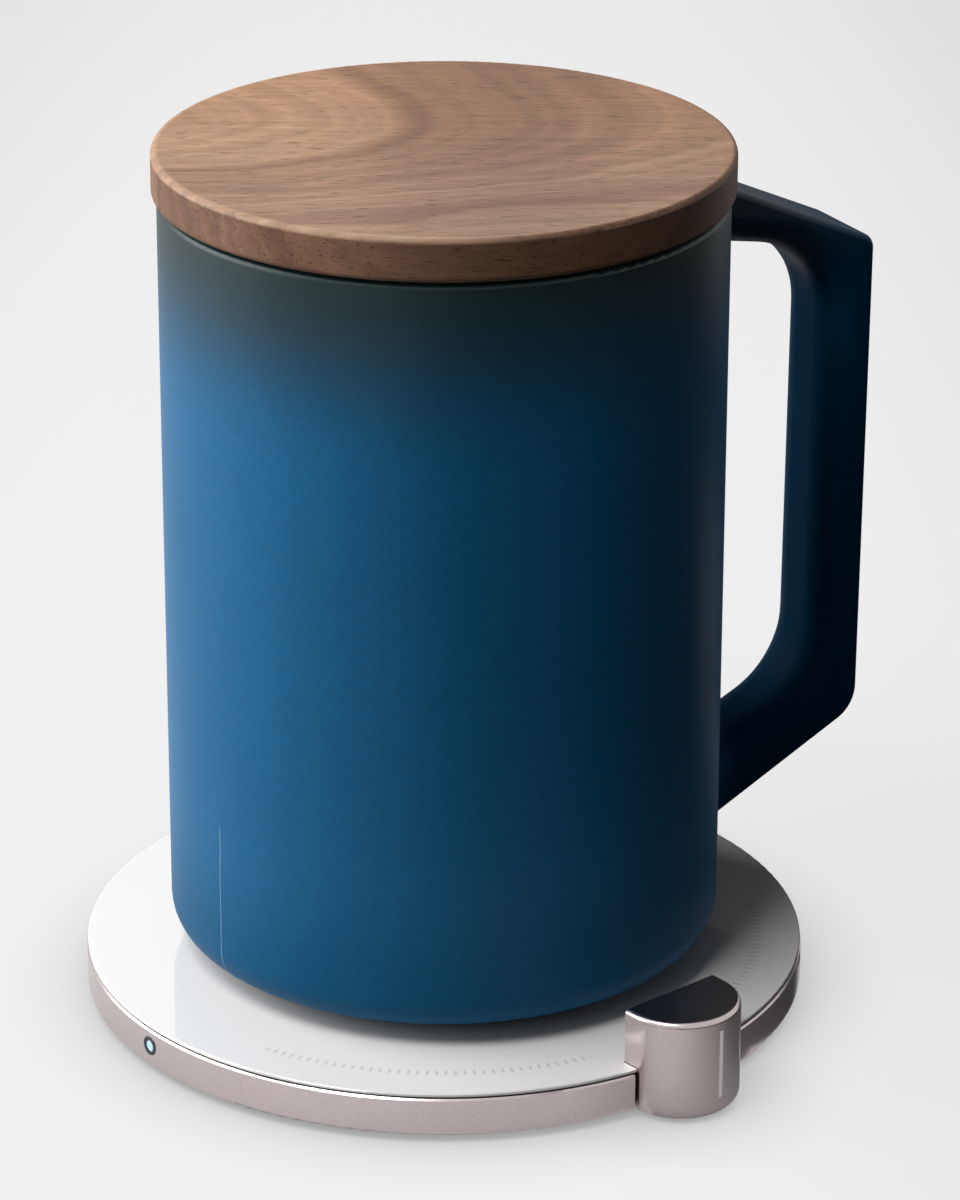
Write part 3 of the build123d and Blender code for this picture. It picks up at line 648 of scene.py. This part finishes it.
def floor_material():
    """Pale floor that keeps the object's shadow, with a painted contact shadow close round the object; it
    throws little light back up.
    """
    graph = Graph("pale_floor")
    across, away, _ = graph.parts(graph.picture_place())
    across = graph.math("DIVIDE", across, PALE_HALF_WIDTH)
    away = graph.math("DIVIDE", graph.math("SUBTRACT", away, PALE_AWAY), PALE_HALF_DEPTH)
    pale = graph.mix(graph.span(graph.squares(across, away), *PALE_FADE), PALE, PALE_EDGE)
    # painted contact shadow: the glow seen by the camera darkens where the occlusion node finds the object
    # near
    contact = graph.node("ShaderNodeAmbientOcclusion", samples=CONTACT_SAMPLES)
    graph.fill(contact, Distance=CONTACT_REACH)
    open_share = graph.math("MULTIPLY_ADD", contact.outputs["AO"], CONTACT_DEPTH, 1.0 - CONTACT_DEPTH)
    glow = graph.node("ShaderNodeEmission")
    graph.fill(glow, Color=graph.shade(pale, open_share), Strength=FLOOR_GLOW)
    lit = graph.node("ShaderNodeBsdfDiffuse")
    graph.fill(lit, Color=graph.mix(1.0 - FLOOR_GLOW, (0.0, 0.0, 0.0), pale))
    bright = graph.join(graph.node("ShaderNodeAddShader"), glow.outputs[0], lit.outputs[0])
    quiet = graph.fill(graph.node("ShaderNodeBsdfDiffuse"), Color=FLOOR_UNSEEN)
    return graph.surface_from(seen_rays(graph.tree), quiet, bright)


def floor_card_material():
    """Black card: near the object it covers the right and the back, farther off the front and the right."""
    near_stops = [
        (0.00, 0.0), (0.15, 0.14), (0.27, 0.20), (0.36, 0.50),
        (0.45, 0.84), (0.54, 0.93), (0.97, 0.90), (1.00, 0.0),
    ]
    far_start = (radians(-22.0), radians(0.0))
    far_end = (radians(118.0), radians(136.0))
    first_turn, last_turn = FLOOR_CARD_TURNS

    graph = Graph("dark_card")
    distance, bearing, _ = graph.round_place()
    turn = graph.math("ADD", bearing, radians(90.0 - VIEW_TURN))
    near = graph.times(
        graph.ramp(graph.share(turn, radians(first_turn), radians(last_turn)), near_stops),
        graph.span(distance, *FLOOR_CARD_NEAR_END, *FADE_OUT),
    )
    far = graph.times(
        graph.span(turn, *far_start),
        graph.span(turn, *far_end, *FADE_OUT),
        graph.span(distance, *FLOOR_CARD_NEAR_END),
    )
    clear = graph.node("ShaderNodeBsdfTransparent")
    black = graph.fill(graph.node("ShaderNodeBsdfDiffuse"), Color=CARD_COLOUR)
    return graph.surface_from(graph.math("ADD", near, far), clear, black)


def plain_card(name, colour, glow):
    """Card of one colour, with a glow of its own where the lamps don't reach it."""
    graph = Graph(name)
    return graph.surface(Base_Color=colour, Roughness=CARD_ROUGHNESS, Specular_IOR_Level=0.0,
                         Emission_Color=WHITE, Emission_Strength=glow)


def feathered_card(name, colour, across_spans, height_spans=()):
    """Card that fades across the picture and with height. A span is its two ends and the cover at each."""
    graph = Graph(name)
    across, _, height = graph.parts(graph.picture_place())
    cover = 1.0
    for value, spans in ((across, across_spans), (height, height_spans)):
        for span in spans:
            cover = graph.math("MULTIPLY", graph.span(value, *span), cover)
    return graph.surface(Base_Color=colour, Roughness=CARD_ROUGHNESS, Specular_IOR_Level=0.0, Alpha=cover)


def feathered_ends(low, high, width):
    """Spans that fade a card in at one end and out at the other."""
    return [(low, low + width, *FADE_IN), (high - width, high, *FADE_OUT)]


def hide_card(sheet, material):
    """A card out of the camera's sight that only reflections and soft light meet."""
    sheet.data.materials.append(material)
    sheet.visible_camera = False
    sheet.visible_shadow = False


def ring_corners(places, height):
    """Corners at one height, from bearings off the camera's side, in degrees, and distances."""
    return [(sin(radians(turn)) * away, -cos(radians(turn)) * away, height) for turn, away in places]


def soft_lamp(name, place, aim_height, side, level):
    """Square soft box. Its level is the light on a surface facing it, where 1 shows a colour as written."""
    data = bpy.data.lights.new(name, "AREA")
    data.shape = "RECTANGLE"
    data.size = side
    data.size_y = side
    start = in_view(*place)
    towards = in_view(0, 0, aim_height) - start
    data.energy = WATTS_PER_LEVEL * towards.length_squared * level
    lamp = bpy.data.objects.new(name, data)
    lamp.location = start
    lamp.rotation_euler = towards.to_track_quat("-Z", "Y").to_euler()
    bpy.context.scene.collection.objects.link(lamp)
    return lamp


floor_signs = ((-1, -1), (1, -1), (1, 1), (-1, 1))
floor = stage_sheet("floor", [(x * FLOOR_HALF, y * FLOOR_HALF, FLOOR_HEIGHT) for x, y in floor_signs])
floor.data.materials.append(floor_material())

# Floor card, from the hub's rim outwards
inner_places = [(turn, FLOOR_CARD_INNER) for turn in (-30, 0, 30, 60, 90, 120, 150, 170)]
outer_places = [(170, 0.7), (90, 1.2), (30, 1.2), (-30, 1.2)]
floor_card = stage_sheet("floor_card", ring_corners(inner_places + outer_places, FLOOR_CARD_HEIGHT))
hide_card(floor_card, floor_card_material())

# Grey card behind the object, at the right
back_card = standing_card("back_card", (0.010, 0.115), (0.110, 0.125), foot=0.0, top=0.13)
hide_card(back_card, feathered_card("grey_card", BACK_CARD_COLOUR, [(0.012, 0.048, *FADE_IN)]))

# Low black card farther to the right
side_left = 0.095
side_right = 0.220
side_foot = 0.010
side_top = 0.070
side_card = standing_card("side_card", (side_left, 0.129), (side_right, 0.098), side_foot, side_top)
side_spans = feathered_ends(side_left, side_right, width=0.020)
side_heights = feathered_ends(side_foot, side_top, width=0.018)
hide_card(side_card, feathered_card("black_card", CARD_COLOUR, side_spans, side_heights))
side_card.visible_diffuse = False

# Small upright flag over the plate's edge, left of the post
flag_foot = plate_top + 0.3 * MM
flag = standing_card("post_flag", (0.0177, -0.064), (0.0183, -0.040), flag_foot, top=0.0175)
hide_card(flag, plain_card("flag_card", CARD_COLOUR, glow=0.52))
flag.visible_diffuse = False

soft_lamp("key", (-0.74, 0.08, 0.36), aim_height=0.07, side=0.70, level=1.56)
soft_lamp("overhead", (-0.35, -0.38, 1.00), aim_height=0.10, side=0.42, level=0.72)
fill = soft_lamp("fill", (-0.44, -0.66, 0.44), aim_height=0.03, side=0.35, level=0.05)
fill.visible_glossy = False

world = bpy.data.worlds.new("studio")
world.use_nodes = True
bpy.context.scene.world = world
sky = world.node_tree
back = sky.nodes["Background"]
level = sky.nodes.new("ShaderNodeMapRange")
level.inputs["To Min"].default_value = WORLD_FILL
level.inputs["To Max"].default_value = WORLD_SEEN
sky.links.new(seen_rays(sky), level.inputs["Value"])
sky.links.new(level.outputs["Result"], back.inputs["Strength"])
back.inputs["Color"].default_value = WHITE

# Camera
lens = bpy.data.cameras.new("camera")
lens.sensor_width = SENSOR_MM
lens.lens = FOCAL_PIXELS / IMAGE_LONG_SIDE * SENSOR_MM
lens.shift_x = -PRINCIPAL_X_OFFSET / IMAGE_LONG_SIDE
camera = bpy.data.objects.new("camera", lens)
camera.location = in_view(0, -EYE_BACK, EYE_HEIGHT)
camera.rotation_euler = (radians(90 - EYE_PITCH), 0.0, radians(VIEW_TURN))
bpy.context.scene.collection.objects.link(camera)
bpy.context.scene.camera = camera

bpy.context.scene.view_settings.view_transform = "Standard"
